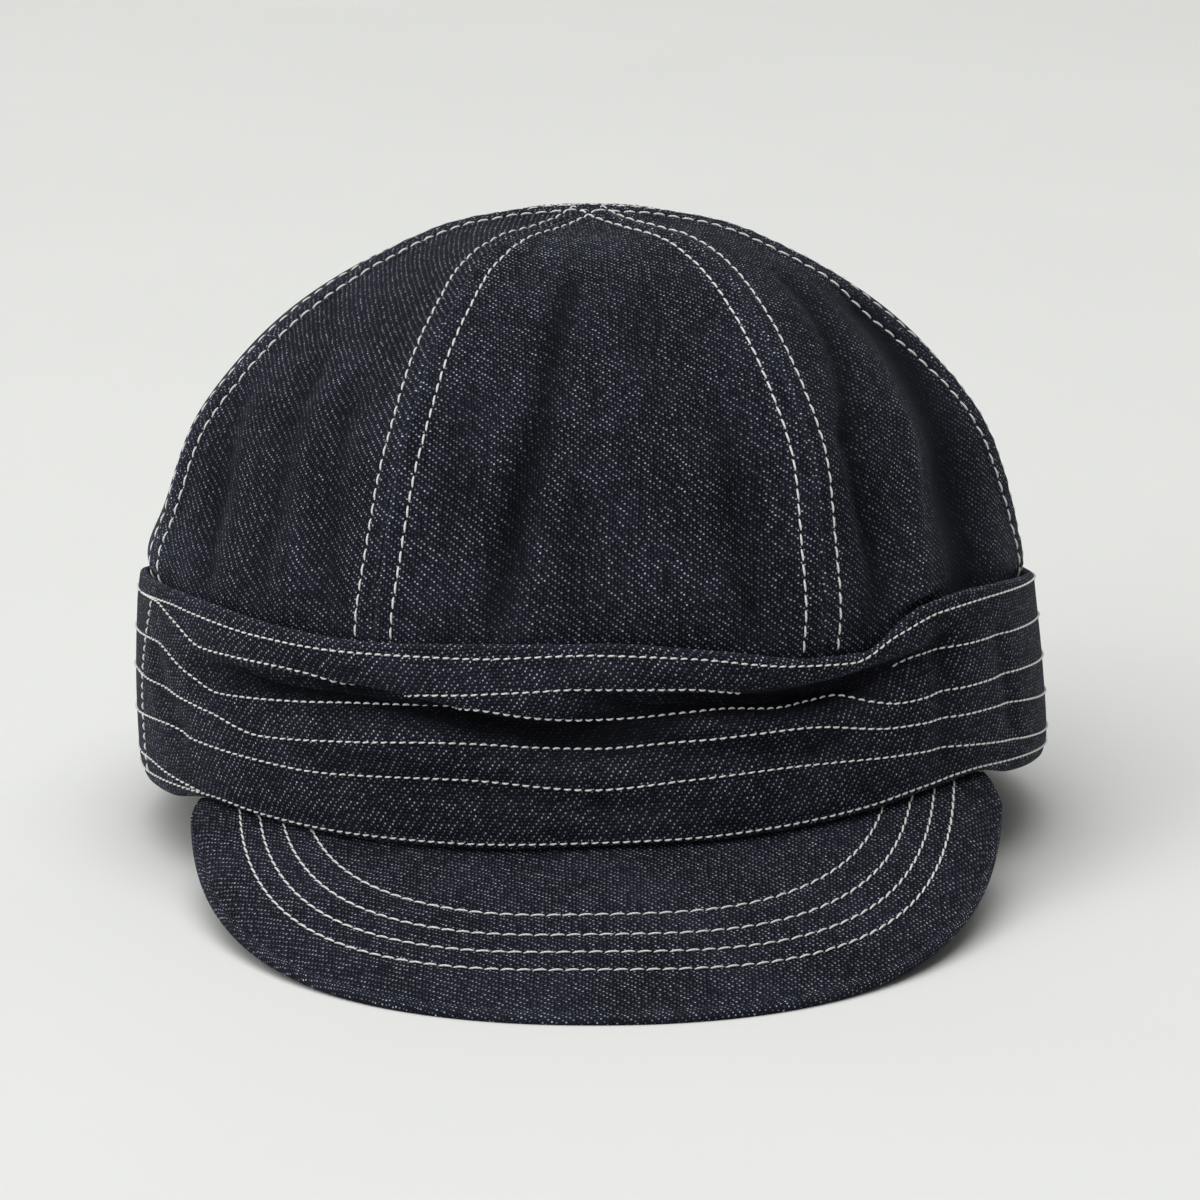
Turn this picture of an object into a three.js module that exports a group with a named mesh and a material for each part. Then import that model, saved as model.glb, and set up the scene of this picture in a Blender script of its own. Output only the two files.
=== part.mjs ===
// A soft six-panel denim cap with a deep folded band and a short rounded peak.
// It lies on a flat surface on the back of its band and the front edge of its peak.
// Millimetres, +Z up. The peak points along -Y, and +X is the wearer's left.
// Azimuth is measured in degrees round the head from the front: + towards +X.
import * as THREE from 'three';

// Driving dimensions
const HEAD_RING = { side: 93.6, front: 96, rear: 99, shiftX: 0.3 };
const BAND_WALL = 1.8;
const CROWN_WALL = 1.3;
const PIECE_GAP = 0.3;
const CROWN_TUCK = 5;
const WORN_TILT = 5.6;
const REAR_FOOT = 97;
const RING_PLACE = { x: -0.7, y: 26.7 };

// The peak's outline is a squared half oval, its underside on the floor at the tip
const PEAK = {
  halfWidth: 81, tip: 154.6, back: 46, squareness: 2.12, shiftX: 2.3, skew: -0.5,
  liftLeft: 16, liftRight: 19.5, liftPower: 2, edgeTop: 2.4, thickness: 3,
  halfSpan: 60, tuck: 1.9, crownRise: 0.9, cornerTurn: 0.94,
};

// One section of the crown from its hem to its point: distance up the cloth, radius, height
const CROWN_PROFILE = [
  { up: -8, radius: 89.2, height: 25.4 },
  { up: 3, radius: 89.4, height: 36 },
  { up: 10, radius: 89.7, height: 42.5 },
  { up: 23, radius: 87.7, height: 55 },
  { up: 40, radius: 82.8, height: 71 },
  { up: 59, radius: 71.5, height: 87 },
  { up: 75, radius: 59.4, height: 98 },
  { up: 94, radius: 42.6, height: 107.9 },
  { up: 112, radius: 26, height: 114.4 },
  { up: 129, radius: 9.5, height: 117 },
  { up: 138.5, radius: 0, height: 117.6 },
];
const CROWN_POINT_UP = 137;
const CROWN_FRONT_LENGTH = 1.035;
const CROWN_REAR_LENGTH = 1.068;

// The band holds the crown's lower part round, and the panels flatten above it
const HELD_ROUND = { upTo: 12, freeFrom: 34, aboveEdge: 1 };

// The front half of the top sinks a little between the shoulder and the point
const TOP_SINK = [
  { up: 85, sink: 0 },
  { up: 100, sink: 0.8 },
  { up: 113, sink: 1.7 },
  { up: 123, sink: 2.2 },
  { up: 132, sink: 1.5 },
  { up: 138.5, sink: 0 },
];

// Azimuth of each of the six seams at a few distances up the cloth
const SEAMS = [
  {
    up: 0, frontLeft: -28.4, frontRight: 30.8,
    sideLeft: -76, sideRight: 82, rearLeft: -146, rearRight: 146,
  },
  {
    up: 25, frontLeft: -27.4, frontRight: 31.6,
    sideLeft: -77.5, sideRight: 83, rearLeft: -146, rearRight: 146,
  },
  {
    up: 45, frontLeft: -27.2, frontRight: 33,
    sideLeft: -78.5, sideRight: 83, rearLeft: -146, rearRight: 146,
  },
  {
    up: 65, frontLeft: -28.4, frontRight: 34,
    sideLeft: -77, sideRight: 82, rearLeft: -147, rearRight: 147,
  },
  {
    up: 82, frontLeft: -30.2, frontRight: 36,
    sideLeft: -77.5, sideRight: 82, rearLeft: -148, rearRight: 148,
  },
  {
    up: 98, frontLeft: -34, frontRight: 39.5,
    sideLeft: -81, sideRight: 84, rearLeft: -149, rearRight: 149,
  },
  {
    up: 112, frontLeft: -35, frontRight: 41,
    sideLeft: -85, sideRight: 87, rearLeft: -150, rearRight: 150,
  },
  {
    up: 124, frontLeft: -31.5, frontRight: 38,
    sideLeft: -88, sideRight: 89, rearLeft: -150, rearRight: 150,
  },
  {
    up: 138.5, frontLeft: -30, frontRight: 30,
    sideLeft: -90, sideRight: 90, rearLeft: -150, rearRight: 150,
  },
];

// The panels between the seams; flatness 1 would be a flat chord from seam to seam
const PANELS = [
  { name: 'crown_front', from: 'frontLeft', to: 'frontRight', flatness: 0.35, across: 12, upSteps: 18 },
  { name: 'crown_front_right', from: 'frontRight', to: 'sideRight', flatness: 0.5, across: 11, upSteps: 18 },
  { name: 'crown_back_right', from: 'sideRight', to: 'rearRight', flatness: 0.05, across: 8, upSteps: 14 },
  { name: 'crown_back', from: 'rearRight', to: 'rearLeft', flatness: 0.25, across: 8, upSteps: 14 },
  { name: 'crown_back_left', from: 'rearLeft', to: 'sideLeft', flatness: 0.05, across: 8, upSteps: 14 },
  { name: 'crown_front_left', from: 'sideLeft', to: 'frontLeft', flatness: 0.6, across: 11, upSteps: 18 },
];

// Creases in the crown: a straight line on the cloth, + raised or - sunk, fading at its ends
const CREASES = [
  { of: 'front left valley', azimuth: -12, up: 4, toAzimuth: -3, toUp: 88, height: -2, width: 7 },
  { of: 'front middle valley', azimuth: -2, up: 26, toAzimuth: 9, toUp: 52, height: -0.9, width: 6 },
  { of: 'front right valley', azimuth: 23, up: 2, toAzimuth: 23, toUp: 46, height: -1.1, width: 6 },
  { of: 'right ridge', azimuth: 42, up: 4, toAzimuth: 58, toUp: 50, height: 1.8, width: 8 },
  { of: 'right valley', azimuth: 66, up: 2, toAzimuth: 66, toUp: 70, height: -2, width: 10 },
  { of: 'left outer valley', azimuth: -52, up: 8, toAzimuth: -71, toUp: 50, height: -1.2, width: 6 },
  { of: 'left inner valley', azimuth: -38, up: 8, toAzimuth: -50, toUp: 60, height: -1, width: 6 },
  { of: 'front shoulder', azimuth: -22, up: 106, toAzimuth: 22, toUp: 106, height: 1, width: 9 },
];

// The band's lower and upper edges round the head
const BAND_EDGES = [
  { azimuth: -180, bottom: -0.7, top: 40 },
  { azimuth: -125, bottom: 0.1, top: 40 },
  { azimuth: -98, bottom: 0.4, top: 41.4 },
  { azimuth: -84, bottom: 0.5, top: 43.2 },
  { azimuth: -68, bottom: 0.6, top: 43.2 },
  { azimuth: -57, bottom: 2.4, top: 42.5 },
  { azimuth: -42, bottom: 0.9, top: 40.1 },
  { azimuth: -28, bottom: -0.6, top: 38.8 },
  { azimuth: -12, bottom: -1, top: 39.5 },
  { azimuth: 2, bottom: 0, top: 39.9 },
  { azimuth: 16, bottom: 0.7, top: 38 },
  { azimuth: 28, bottom: 2.4, top: 36 },
  { azimuth: 36, bottom: 3.9, top: 36.4 },
  { azimuth: 47, bottom: 6.6, top: 43.4 },
  { azimuth: 57, bottom: 8, top: 45 },
  { azimuth: 66, bottom: 6, top: 44.6 },
  { azimuth: 82, bottom: 4.8, top: 43 },
  { azimuth: 98, bottom: 3.2, top: 41 },
  { azimuth: 125, bottom: 0.9, top: 40.4 },
  { azimuth: 180, bottom: -0.7, top: 40 },
];

// How far the band's face stands in or out of the head ring, from its lower to its upper edge
const BAND_SWELL = [
  { rise: 0, left: -1.6, right: 0.2 },
  { rise: 0.12, left: -0.3, right: 1.1 },
  { rise: 0.5, left: 0.3, right: 0.2 },
  { rise: 0.85, left: -0.1, right: -1.2 },
  { rise: 1, left: -0.8, right: -1.8 },
];

// Folds pressed into the front of the band, each followed round the head
const BAND_FOLDS = [
  [
    { azimuth: -56, height: 31.5, depth: 0, width: 4 },
    { azimuth: -38, height: 30, depth: 2.8, width: 4 },
    { azimuth: -26, height: 27.5, depth: 4.4, width: 4 },
    { azimuth: -14, height: 24, depth: 4.4, width: 4 },
    { azimuth: -4, height: 22.5, depth: 2.8, width: 4 },
    { azimuth: 8, height: 21.5, depth: 0, width: 4 },
  ],
  [
    { azimuth: -6, height: 30, depth: 0, width: 3.6 },
    { azimuth: 6, height: 29, depth: 2.4, width: 3.6 },
    { azimuth: 18, height: 28.5, depth: 4.4, width: 3.8 },
    { azimuth: 28, height: 28.5, depth: 4, width: 3.8 },
    { azimuth: 36, height: 30.5, depth: 2.4, width: 4 },
    { azimuth: 50, height: 34, depth: 0, width: 4 },
  ],
];
const FOLD_LIP_SHARE = 0.35;
const FOLD_LIP_PLACE = 1.9;

// Rows of the solids' faces, closest together where the folds lie
const BAND_STEPS = 90;
const BAND_RISES = [0, 0.07, 0.15, 0.26, 0.37, 0.45, 0.51, 0.57, 0.63, 0.69, 0.75, 0.81, 0.89, 0.975, 1];
const BAND_EDGE_ROUND = 0.45;
const PEAK_STEPS = 34;
const PEAK_ROWS = [0, 0.2, 0.4, 0.6, 0.8, 0.975, 1];

const radians = THREE.MathUtils.degToRad;

// Smooth curve through a table's rows that never overshoots them
function along(rows, key, column, at) {
  const last = rows.length - 1;
  if (at <= rows[0][key]) return rows[0][column];
  if (at >= rows[last][key]) return rows[last][column];
  const rise = (i) => (rows[i + 1][column] - rows[i][column]) / (rows[i + 1][key] - rows[i][key]);
  const slope = (i) => {
    if (i === 0) return rise(0);
    if (i === last) return rise(last - 1);
    const before = rise(i - 1);
    const after = rise(i);
    return before * after <= 0 ? 0 : (2 * before * after) / (before + after);
  };
  let i = 0;
  while (rows[i + 1][key] < at) i += 1;
  const span = rows[i + 1][key] - rows[i][key];
  const t = (at - rows[i][key]) / span;
  const t2 = t * t;
  const t3 = t2 * t;
  return (2 * t3 - 3 * t2 + 1) * rows[i][column] + (t3 - 2 * t2 + t) * slope(i) * span
    + (3 * t2 - 2 * t3) * rows[i + 1][column] + (t3 - t2) * slope(i + 1) * span;
}

// The cap leans back until the rear of the band and the peak's front edge touch the floor
function stand(x, y, z) {
  const tilt = radians(WORN_TILT);
  const back = y - REAR_FOOT;
  const height = z * Math.cos(tilt) - back * Math.sin(tilt);
  const depth = back * Math.cos(tilt) + z * Math.sin(tilt) + REAR_FOOT * Math.cos(tilt);
  return new THREE.Vector3(x, depth, Math.max(0, height));
}

function wrapAzimuth(azimuth) {
  return THREE.MathUtils.euclideanModulo(azimuth + 180, 360) - 180;
}

// A closed solid from two grids of points, the outer one seen from outside
function solidBetween(outer, inner, closedRound) {
  const rows = outer.length;
  const columns = outer[0].length;
  const positions = [];
  const triangles = [];
  [...outer, ...inner].flat().forEach((point) => positions.push(point.x, point.y, point.z));
  const outside = (row, column) => row * columns + (column % columns);
  const inside = (row, column) => rows * columns + outside(row, column);
  const quad = (a, b, c, d) => triangles.push(a, b, c, a, c, d);
  const cells = closedRound ? columns : columns - 1;
  const top = rows - 1;
  for (let row = 0; row < top; row += 1) {
    const above = row + 1;
    for (let column = 0; column < cells; column += 1) {
      const next = column + 1;
      quad(outside(row, column), outside(row, next), outside(above, next), outside(above, column));
      quad(inside(row, column), inside(above, column), inside(above, next), inside(row, next));
    }
    if (!closedRound) {
      quad(inside(row, 0), outside(row, 0), outside(above, 0), inside(above, 0));
      quad(outside(row, cells), inside(row, cells), inside(above, cells), outside(above, cells));
    }
  }
  for (let column = 0; column < cells; column += 1) {
    const next = column + 1;
    quad(inside(0, column), inside(0, next), outside(0, next), outside(0, column));
    quad(outside(top, column), outside(top, next), inside(top, next), inside(top, column));
  }
  const geometry = new THREE.BufferGeometry();
  geometry.setAttribute('position', new THREE.Float32BufferAttribute(positions, 3));
  geometry.setIndex(triangles);
  geometry.computeVertexNormals();
  return geometry;
}

// Band: how far a fold pushes the cloth in, with a low lip above it
function foldPush(azimuth, height) {
  return BAND_FOLDS.reduce((total, fold) => {
    if (azimuth <= fold[0].azimuth || azimuth >= fold[fold.length - 1].azimuth) return total;
    const depth = along(fold, 'azimuth', 'depth', azimuth);
    const middle = along(fold, 'azimuth', 'height', azimuth);
    const away = (height - middle) / along(fold, 'azimuth', 'width', azimuth);
    const lip = FOLD_LIP_SHARE * depth * Math.exp(-((away - FOLD_LIP_PLACE) ** 2));
    return total - depth * Math.exp(-away * away) + lip;
  }, 0);
}

// How far the band's outer face stands proud of the head ring
function bandProud(azimuth, rise, height) {
  const right = 0.5 + 0.5 * Math.sin(radians(azimuth));
  const left = along(BAND_SWELL, 'rise', 'left', rise);
  return left + (along(BAND_SWELL, 'rise', 'right', rise) - left) * right + foldPush(azimuth, height);
}

function bandPoint(azimuth, rise, inset) {
  const round = wrapAzimuth(azimuth);
  const bottom = along(BAND_EDGES, 'azimuth', 'bottom', round);
  const height = bottom + (along(BAND_EDGES, 'azimuth', 'top', round) - bottom) * rise;
  const proud = bandProud(round, rise, height) - inset;
  const angle = radians(round);
  const length = Math.cos(angle) > 0 ? HEAD_RING.front : HEAD_RING.rear;
  const x = (HEAD_RING.side + proud) * Math.sin(angle) + HEAD_RING.shiftX;
  return stand(x, -(length + proud) * Math.cos(angle), height);
}

function makeBand() {
  const lastRise = BAND_RISES.length - 1;
  const ringAt = (rise, inset) => Array.from(
    { length: BAND_STEPS },
    (_, step) => bandPoint((step * 360) / BAND_STEPS, rise, inset),
  );
  const rounding = (i) => (i === lastRise ? BAND_EDGE_ROUND : 0);
  const outer = BAND_RISES.map((rise, i) => ringAt(rise, rounding(i)));
  const inner = BAND_RISES.map((rise, i) => ringAt(rise, BAND_WALL - rounding(i)));
  return solidBetween(outer, inner, true);
}

// Crown: creases are straight lines on the cloth that fade at their ends
function creaseHeight(azimuth, up, radius) {
  return CREASES.reduce((total, crease) => {
    const spanUp = crease.toUp - crease.up;
    const spanRound = radians(crease.toAzimuth - crease.azimuth) * radius;
    const upAway = up - crease.up;
    const roundAway = radians(azimuth - crease.azimuth) * radius;
    const length = Math.hypot(spanUp, spanRound);
    const share = (upAway * spanUp + roundAway * spanRound) / (length * length);
    if (share <= 0 || share >= 1) return total;
    const away = (roundAway * spanUp - upAway * spanRound) / length / crease.width;
    return total + crease.height * Math.sin(Math.PI * share) * Math.exp(-away * away);
  }, 0);
}

// The crown's radius where its hem is sewn to the inside of the band
function hemRadius(azimuth, height, lengthRatio) {
  const bottom = along(BAND_EDGES, 'azimuth', 'bottom', azimuth);
  const top = along(BAND_EDGES, 'azimuth', 'top', azimuth);
  if (height > top + HELD_ROUND.aboveEdge) return Infinity;
  const rise = Math.min(1, (height - bottom) / (top - bottom));
  const inside = bandProud(azimuth, rise, height) - BAND_WALL - PIECE_GAP;
  const length = Math.cos(radians(azimuth)) > 0 ? HEAD_RING.front : HEAD_RING.rear;
  return Math.min(HEAD_RING.side - HEAD_RING.shiftX + inside, (length + inside) / lengthRatio);
}

function crownPoint(panel, across, up, inset) {
  const from = along(SEAMS, 'up', panel.from, up);
  const to = from + THREE.MathUtils.euclideanModulo(along(SEAMS, 'up', panel.to, up) - from, 360);
  const angle = radians(from + (to - from) * across);
  const azimuth = wrapAzimuth(from + (to - from) * across);
  const forward = Math.max(0, Math.cos(angle));
  const lengthRatio = Math.cos(angle) > 0 ? CROWN_FRONT_LENGTH : CROWN_REAR_LENGTH;
  const section = along(CROWN_PROFILE, 'up', 'radius', up);
  const height = along(CROWN_PROFILE, 'up', 'height', up) - along(TOP_SINK, 'up', 'sink', up) * forward;
  const sagitta = section * (1 - Math.cos(radians(to - from) / 2));
  const spread = 1 - (2 * across - 1) ** 2;
  const freed = THREE.MathUtils.smoothstep(up, HELD_ROUND.upTo, HELD_ROUND.freeFrom);
  const shaped = section - panel.flatness * sagitta * spread * freed + creaseHeight(azimuth, up, section);
  const radius = Math.min(shaped, hemRadius(azimuth, height, lengthRatio)) - inset.across;
  const gap = PIECE_GAP / 2 / radius;
  const held = THREE.MathUtils.clamp(angle, radians(from) + gap, radians(to) - gap);
  return stand(radius * Math.sin(held), -radius * lengthRatio * Math.cos(held), height - inset.down);
}

function makePanel(panel) {
  const hemUp = (across) => {
    const from = SEAMS[0][panel.from];
    const to = from + THREE.MathUtils.euclideanModulo(SEAMS[0][panel.to] - from, 360);
    const edge = along(BAND_EDGES, 'azimuth', 'top', wrapAzimuth(from + (to - from) * across));
    return along(CROWN_PROFILE, 'height', 'up', edge - CROWN_TUCK);
  };
  const grid = (wall) => Array.from({ length: panel.upSteps + 1 }, (_, row) => Array.from(
    { length: panel.across + 1 },
    (__, column) => {
      const across = column / panel.across;
      const start = hemUp(across);
      const up = start + ((CROWN_POINT_UP - start) * row) / panel.upSteps;
      const steep = Math.min(1, along(CROWN_PROFILE, 'up', 'radius', up) / CROWN_PROFILE[0].radius);
      const lean = Math.asin(steep);
      return crownPoint(panel, across, up, { across: wall * Math.sin(lean), down: wall * Math.cos(lean) });
    },
  ));
  return solidBetween(grid(0), grid(CROWN_WALL), false);
}

// Peak: its front outline, + to the right, from one corner round the tip to the other
function peakOutline(turn) {
  const angle = (turn * Math.PI) / 2;
  const power = 2 / PEAK.squareness;
  const side = Math.sign(angle) * Math.abs(Math.sin(angle)) ** power;
  const reach = Math.cos(angle) ** power;
  const lift = turn < 0 ? PEAK.liftLeft : PEAK.liftRight;
  const x = PEAK.halfWidth * side + PEAK.shiftX + PEAK.skew * reach;
  const y = -PEAK.back - (PEAK.tip - PEAK.back) * reach;
  return new THREE.Vector3(x, y, PEAK.edgeTop + lift * (1 - reach) ** PEAK.liftPower);
}

function makePeak() {
  const top = PEAK_ROWS.map((share) => Array.from({ length: PEAK_STEPS + 1 }, (_, step) => {
    const turn = (2 * step) / PEAK_STEPS - 1;
    const joint = bandPoint(turn * PEAK.halfSpan, 0, PEAK.tuck);
    joint.z -= PIECE_GAP;
    const point = joint.clone().lerp(peakOutline(turn * PEAK.cornerTurn), share);
    point.z += PEAK.crownRise * Math.sin(Math.PI * share);
    return point;
  }));
  const underside = (point) => Math.max(0, point.z - PEAK.thickness);
  const bottom = top.map((row) => row.map((point) => point.clone().setZ(underside(point))));
  return solidBetween(top.reverse(), bottom.reverse(), false);
}

// Indigo denim; the band and the peak are a shade paler than the crown
const denim = { color: 0x1f212b, roughness: 0.92, metalness: 0 };
const SHADES = { crown: 0, band: 0.01, peak: 0.02 };

const cap = new THREE.Group();
cap.position.set(RING_PLACE.x, RING_PLACE.y, 0);

function addPiece(name, geometry, shade) {
  const material = new THREE.MeshStandardMaterial(denim);
  material.color.offsetHSL(0, 0, shade);
  const piece = new THREE.Mesh(geometry, material);
  piece.name = name;
  cap.add(piece);
}

PANELS.forEach((panel) => addPiece(panel.name, makePanel(panel), SHADES.crown));
addPiece('band', makeBand(), SHADES.band);
addPiece('peak', makePeak(), SHADES.peak);

export default cap;
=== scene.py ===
import math

import bmesh
import bpy
import numpy as np
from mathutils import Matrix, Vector


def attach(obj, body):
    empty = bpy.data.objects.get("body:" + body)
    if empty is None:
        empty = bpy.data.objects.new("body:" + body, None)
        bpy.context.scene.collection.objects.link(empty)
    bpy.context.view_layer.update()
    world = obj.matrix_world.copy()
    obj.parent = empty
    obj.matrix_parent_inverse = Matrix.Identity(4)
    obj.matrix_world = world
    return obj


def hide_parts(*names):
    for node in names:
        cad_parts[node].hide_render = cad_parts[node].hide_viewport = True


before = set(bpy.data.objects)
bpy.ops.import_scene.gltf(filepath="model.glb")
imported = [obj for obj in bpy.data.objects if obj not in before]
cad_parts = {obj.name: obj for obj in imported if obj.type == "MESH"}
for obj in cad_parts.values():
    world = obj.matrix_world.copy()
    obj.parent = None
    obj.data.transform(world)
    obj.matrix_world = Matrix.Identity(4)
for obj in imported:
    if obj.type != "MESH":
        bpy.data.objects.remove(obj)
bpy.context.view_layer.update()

# A denim cap of six panels with a deep folded band and a short rounded peak.
# Sizes are millimetres on the cap standing level, turned to metres where a vertex is placed.
# Azimuth is measured in degrees round the head from the front: + towards +X, the wearer's left.
# The functions that shape the cloth take single numbers or whole arrays of them.
mm = 0.001

# What a user would change first: the cloth, the head ring, how far the cap leans back and about
# which line behind the ring's middle, and where that middle stands
cloth = {"crownWall": 1.3, "bandWall": 1.9, "peakWall": 3}
headRing = {"side": 93.6, "front": 96, "rear": 99, "shiftX": 0.3}
leanBack = 5.6
rearFoot = 97
ringPlace = (-0.7, 26.7)
# A point inside the cap, which tells the cloth's outer side from its inner side
capMiddle = (*ringPlace, 30)


def table(columns, *rows):
    names = columns.split()
    return [dict(zip(names, row)) for row in rows]


def curve(rows, key, column):
    # A smooth curve through a table's rows that never overshoots them
    at = np.array([row[key] for row in rows], float)
    value = np.array([row[column] for row in rows], float)
    rise = np.diff(value) / np.diff(at)
    before, after = rise[:-1], rise[1:]
    turns = before * after <= 0
    middle = np.where(turns, 0, 2 * before * after / np.where(turns, 1, before + after))
    slope = np.concatenate([rise[:1], middle, rise[-1:]])

    def read(x):
        x = np.clip(x, at[0], at[-1])
        i = np.clip(np.searchsorted(at, x, "right") - 1, 0, len(at) - 2)
        span = at[i + 1] - at[i]
        t = (x - at[i]) / span
        start = value[i] * (1 + 2 * t) + slope[i] * span * t
        end = value[i + 1] * (3 - 2 * t) - slope[i + 1] * span * (1 - t)
        return start * (1 - t) ** 2 + end * t * t

    return read


def smooth(x, low, high):
    t = np.clip((x - low) / (high - low), 0, 1)
    return t * t * (3 - 2 * t)


def bump(x, middle, width):
    return np.exp(-(((x - middle) / width) ** 2))


def wrap(azimuth):
    return (azimuth + 180) % 360 - 180


def stand(x, y, z):
    # The cap leans back until the rear of the band and the peak's front edge touch the floor
    tilt = math.radians(leanBack)
    back = y - rearFoot
    height = z * math.cos(tilt) - back * math.sin(tilt)
    depth = back * math.cos(tilt) + z * math.sin(tilt) + rearFoot * math.cos(tilt)
    return np.stack([x + ringPlace[0], depth + ringPlace[1], np.maximum(0, height)], -1) * mm


# The band: its edges, its face and the folds pressed into its front
bandEdges = table(
    "azimuth bottom top",
    (-180, -0.7, 40), (-125, 0.1, 40), (-98, 0.4, 41.4), (-84, 0.5, 43.2), (-68, 0.6, 43.2),
    (-57, 2.4, 42.5), (-42, 0.9, 40.1), (-28, -0.6, 38.8), (-12, -1, 39.5), (2, 0, 39.9),
    (16, 0.7, 38), (28, 2.4, 36), (36, 3.9, 36.4), (47, 6.6, 43.4), (57, 8, 45), (66, 6, 44.6),
    (82, 4.8, 43), (98, 3.2, 41), (125, 0.9, 40.4), (180, -0.7, 40),
)
bandBottom = curve(bandEdges, "azimuth", "bottom")
bandTop = curve(bandEdges, "azimuth", "top")
bandSwell = table(
    "rise left right",
    (0, -1.6, 0.2), (0.12, -0.3, 1.1), (0.5, 0.3, 0.2), (0.85, -0.1, -1.2), (1, -0.8, -1.8),
)
swellLeft = curve(bandSwell, "rise", "left")
swellRight = curve(bandSwell, "rise", "right")
foldRows = {
    "left": table(
        "azimuth height depth width",
        (-60, 30.5, 0, 2.8), (-48, 30, 3.2, 2.8), (-38, 30, 5.2, 3), (-30, 29.6, 5.8, 3),
        (-20, 27.4, 5.8, 3), (-11, 24.8, 6, 3.4), (-2, 23.8, 5.4, 3.4), (6, 23.8, 3, 3.2),
        (15, 23.5, 0, 3),
    ),
    "right": table(
        "azimuth height depth width",
        (-6, 30.6, 0, 2.4), (2, 30, 4, 2.8), (12, 29.6, 6, 3), (22, 29.4, 6, 3),
        (32, 30.4, 5, 2.8), (40, 32.4, 3, 2.6), (47, 34.4, 1.5, 2.4), (56, 36, 0, 2.4),
    ),
    "lower right": table(
        "azimuth height depth width",
        (12, 28.8, 0, 1.8), (20, 28, 1.6, 1.8), (27, 27.4, 2, 1.9), (34, 27.6, 1.2, 1.8),
        (42, 28.4, 0, 1.8),
    ),
}
foldCurves = [
    {name: curve(rows, "azimuth", name) for name in ("height", "depth", "width")}
    for rows in foldRows.values()
]
# Above each fold the cloth swells into a lip that hangs over it; places and widths are shares
# of the fold's width
foldLip = {
    "share": 0.3, "place": 1.6, "droop": 0.42, "droopPlace": 1.1, "droopWidth": 0.8,
    "underWidth": 1.5,
}
lipSearch = {"start": 5, "steps": 30}

# Straight lines on the cloth, raised or sunk, that fade at their ends
creaseFade = 2.4
bandCreases = table(
    "azimuth up toAzimuth toUp height width",
    (-38, 15, 12, 7, -1.5, 3), (-8, 21, 38, 17.5, -1.8, 3.2), (50, 42, 49, 8, -1.6, 4),
    (-72, 30, -60, 12, -1, 4), (62, 38, 66, 12, -0.9, 4), (-30, 22, 30, 23, 0.7, 3),
)


def creaseHeight(creases, azimuth, up, radius):
    total = 0
    for crease in creases:
        spanUp = crease["toUp"] - crease["up"]
        spanRound = np.radians(crease["toAzimuth"] - crease["azimuth"]) * radius
        upAway = up - crease["up"]
        roundAway = np.radians(azimuth - crease["azimuth"]) * radius
        length = np.hypot(spanUp, spanRound)
        share = np.clip((upAway * spanUp + roundAway * spanRound) / length**2, 0, 1)
        away = (roundAway * spanUp - upAway * spanRound) / length
        fade = np.minimum(1, creaseFade * np.sin(math.pi * share))
        total += crease["height"] * fade * bump(away, 0, crease["width"])
    return total


def foldPush(azimuth, height):
    # How far the folds push the cloth in, and how far the lip above each one hangs over it
    push = droop = 0
    for fold in foldCurves:
        depth = fold["depth"](azimuth)
        away = (height - fold["height"](azimuth)) / fold["width"](azimuth)
        away = np.where(away < 0, away / foldLip["underWidth"], away)
        lip = foldLip["share"] * depth * bump(away, foldLip["place"], 1)
        push += lip - depth * bump(away, 0, 1)
        hang = bump(away, foldLip["droopPlace"], foldLip["droopWidth"])
        droop += foldLip["droop"] * depth * hang
    return push, droop


def bandProud(azimuth, rise, height):
    # How far the band's outer face stands proud of the head ring
    right = 0.5 + 0.5 * np.sin(np.radians(azimuth))
    left = swellLeft(rise)
    creased = creaseHeight(bandCreases, azimuth, height, headRing["side"])
    return left + (swellRight(rise) - left) * right + foldPush(azimuth, height)[0] + creased


def clothHeight(azimuth, level):
    # Where on the cloth a point lies that is seen at this level, once the lips hang down
    height = level + lipSearch["start"]
    for _ in range(lipSearch["steps"]):
        height = (height + level + foldPush(azimuth, height)[1]) / 2
    return height


def bandPoint(azimuth, height, inset=0):
    azimuth = wrap(azimuth)
    bottom = bandBottom(azimuth)
    rise = (height - bottom) / (bandTop(azimuth) - bottom)
    proud = bandProud(azimuth, rise, height) - inset
    angle = np.radians(azimuth)
    length = np.where(np.abs(azimuth) < 90, headRing["front"], headRing["rear"])
    x = (headRing["side"] + proud) * np.sin(angle) + headRing["shiftX"]
    return stand(x, -(length + proud) * np.cos(angle), height - foldPush(azimuth, height)[1])


# The crown: one section from hem to point, six seams, and how each panel lies between them
crownProfile = table(
    "up radius height",
    (-8, 89.2, 25.4), (3, 89.4, 36), (10, 89.7, 42.5), (23, 87.7, 55), (40, 82.8, 71),
    (59, 71.5, 87), (75, 59.4, 98), (94, 42.6, 107.9), (112, 26, 114.4), (129, 9.5, 117),
    (138.5, 0, 117.6),
)
crownRadius = curve(crownProfile, "up", "radius")
crownHeight = curve(crownProfile, "up", "height")
upAtHeight = curve(crownProfile, "height", "up")
topSink = curve(
    table("up sink", (85, 0), (100, 0.8), (113, 1.7), (123, 2.2), (132, 1.5), (138.5, 0)),
    "up", "sink",
)
crownShape = {
    "front": 1.035, "rear": 1.068, "point": 138.2, "tuck": 5, "roundTo": 12, "freeFrom": 34,
    "creasesFrom": (3, 15), "seamsFrom": (4, 12), "hemGap": 0.3, "aboveBand": 1,
}
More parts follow.
